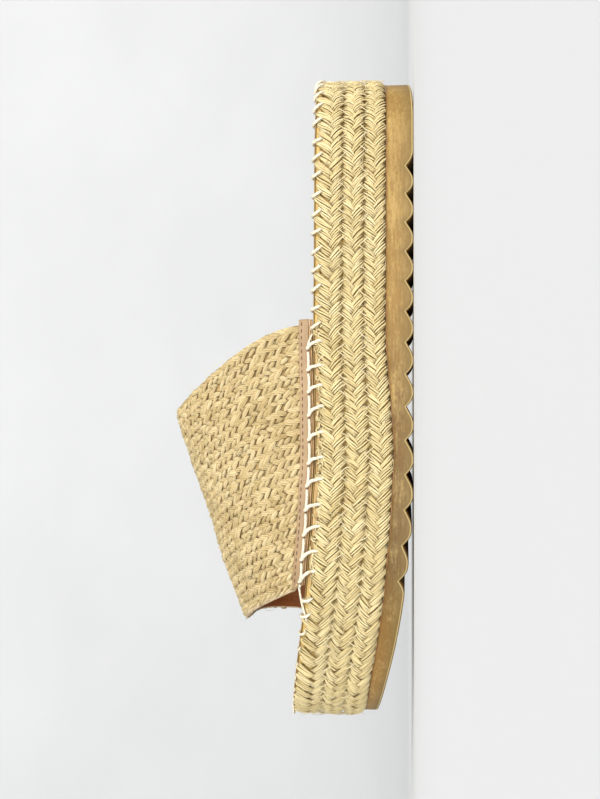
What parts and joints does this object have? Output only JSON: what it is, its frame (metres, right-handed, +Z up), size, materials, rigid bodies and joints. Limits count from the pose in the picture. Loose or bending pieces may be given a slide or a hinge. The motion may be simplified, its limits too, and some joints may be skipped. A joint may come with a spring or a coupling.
{
  "type": "platform espadrille slide",
  "caption": "Left platform slide with a rippled rubber outsole, braided jute side, insole and an open-toed, open-backed woven jute upper.",
  "frame": {"origin": "middle of the shoe's own box, on the floor it stands on", "axes": "+Y from heel to toe, +X towards the inner side of the foot, which on a left shoe is the wearer's right, +Z up"},
  "size_m": [0.0936, 0.2658, 0.099],
  "materials": {
    "outsole_rubber": "matt moulded tan rubber with a fine grain",
    "core_foam": "matt closed-cell foam",
    "jute_braid": "matt natural jute, braided, with loose fibres",
    "insole_leather": "smooth brown lining leather with a low sheen",
    "jute_weave": "matt natural jute, woven, over a brown lining",
    "strip_leather": "smooth pinkish tan leather with a low sheen",
    "stitch_thread": "waxed off-white thread"
  },
  "bodies": {
    "root": {"outsole": "outsole_rubber", "midsole": "core_foam", "braid_wrap": "jute_braid", "insole": "insole_leather", "upper": "jute_weave", "strip_lateral": "strip_leather", "strip_medial": "strip_leather"}
  },
  "joints": []
}
